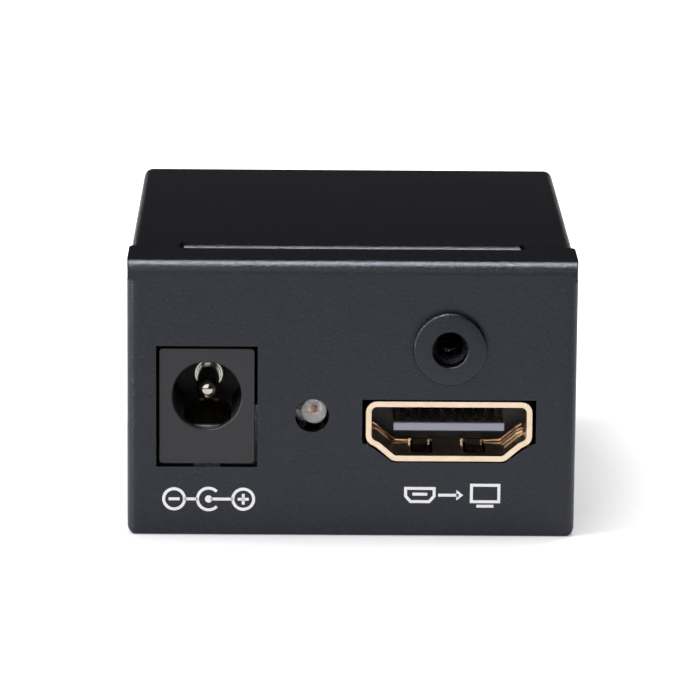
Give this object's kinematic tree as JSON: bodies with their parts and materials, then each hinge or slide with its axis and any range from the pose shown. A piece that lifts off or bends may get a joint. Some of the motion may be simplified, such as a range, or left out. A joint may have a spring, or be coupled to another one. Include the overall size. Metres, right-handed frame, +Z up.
{
  "type": "digital video extender",
  "caption": "Small folded-steel video extender with a power jack, an indicator, a screw-lock post and a wide video port on the front, and a second post and port on the rear.",
  "frame": {"origin": "middle of the overall box, on the plane that the case rests on", "axes": "+Z up, front panel with the jack and the output port towards -Y, jack on the -X side"},
  "size_m": [0.0408, 0.0462, 0.0255],
  "materials": {
    "black_coat": "fine-textured satin powder coat",
    "black_screw": "black zinc plating",
    "plated_steel": "bright zinc plating",
    "board_green": "solder mask over glass-fibre board",
    "jack_plastic": "moulded, satin",
    "nickel_plate": "nickel plated brass",
    "tinned_metal": "tin plated",
    "spring_bronze": "plated spring bronze",
    "clear_lens": "clear epoxy",
    "chip_black": "moulded epoxy",
    "can_aluminium": "drawn can, bright",
    "ceramic_tan": "fired ceramic",
    "resistor_black": "glazed film",
    "ferrite_grey": "sintered ferrite",
    "fuse_green": "glazed polymer",
    "gold_shell": "gold flash over nickel, polished",
    "contact_gold": "gold plated contacts",
    "port_plastic": "moulded liquid-crystal polymer"
  },
  "bodies": {
    "root": {"front_panel": "black_coat", "floor_pan": "black_coat", "rear_panel": "black_coat", "cover": "black_coat", "cover_screws": "black_screw", "front_lock_post": "black_coat", "rear_lock_post": "black_coat", "board_standoffs": "plated_steel", "board_screws": "plated_steel", "circuit_board": "board_green", "jack_housing": "jack_plastic", "jack_pin": "nickel_plate", "jack_pin_terminal": "tinned_metal", "jack_leaf_terminal": "tinned_metal", "jack_switch_terminal": "tinned_metal", "indicator_lens": "clear_lens", "indicator_leads": "tinned_metal", "output_port_shell": "gold_shell", "output_port_insulator": "port_plastic", "output_port_upper_contacts": "contact_gold", "output_port_lower_contacts": "contact_gold", "input_port_shell": "gold_shell", "input_port_insulator": "port_plastic", "input_port_upper_contacts": "contact_gold", "input_port_lower_contacts": "contact_gold", "signal_chip": "chip_black", "signal_chip_leads": "tinned_metal", "regulator": "chip_black", "regulator_leads": "tinned_metal", "reservoir_capacitors": "can_aluminium", "reservoir_bases": "chip_black", "bypass_capacitors": "ceramic_tan", "bypass_capacitor_ends": "tinned_metal", "chip_resistors": "resistor_black", "chip_resistor_ends": "tinned_metal", "surge_arrays": "chip_black", "power_inductor": "ferrite_grey", "polarity_diode": "chip_black", "polarity_diode_ends": "tinned_metal", "input_fuse": "fuse_green", "timing_crystal": "can_aluminium"},
    "jack_leaf": {"jack_leaf": "spring_bronze"},
    "output_upper_springs": {"output_port_upper_springs": "gold_shell"},
    "output_lower_springs": {"output_port_lower_springs": "gold_shell"},
    "input_upper_springs": {"input_port_upper_springs": "gold_shell"},
    "input_lower_springs": {"input_port_lower_springs": "gold_shell"}
  },
  "joints": [
    {"name": "jack_leaf_flex", "type": "hinge", "parent": "root", "child": "jack_leaf", "pos_m": [-0.01315, -0.0206, 0.0099], "axis": [-1, 0, 0], "range_deg": [0, 13], "stiffness_Nm_per_rad": 0.05},
    {"name": "output_lower_flex", "type": "hinge", "parent": "root", "child": "output_lower_springs", "pos_m": [0.00885, -0.015, 0.00743], "axis": [1, 0, 0], "range_deg": [0, 4], "stiffness_Nm_per_rad": 0.05},
    {"name": "output_upper_flex", "type": "hinge", "parent": "root", "child": "output_upper_springs", "pos_m": [0.00885, -0.015, 0.01227], "axis": [-1, 0, 0], "range_deg": [0, 4], "stiffness_Nm_per_rad": 0.05},
    {"name": "input_lower_flex", "type": "hinge", "parent": "root", "child": "input_lower_springs", "pos_m": [0.00885, 0.015, 0.00743], "axis": [-1, 0, 0], "range_deg": [0, 4], "stiffness_Nm_per_rad": 0.05},
    {"name": "input_upper_flex", "type": "hinge", "parent": "root", "child": "input_upper_springs", "pos_m": [0.00885, 0.015, 0.01227], "axis": [1, 0, 0], "range_deg": [0, 4], "stiffness_Nm_per_rad": 0.05}
  ]
}
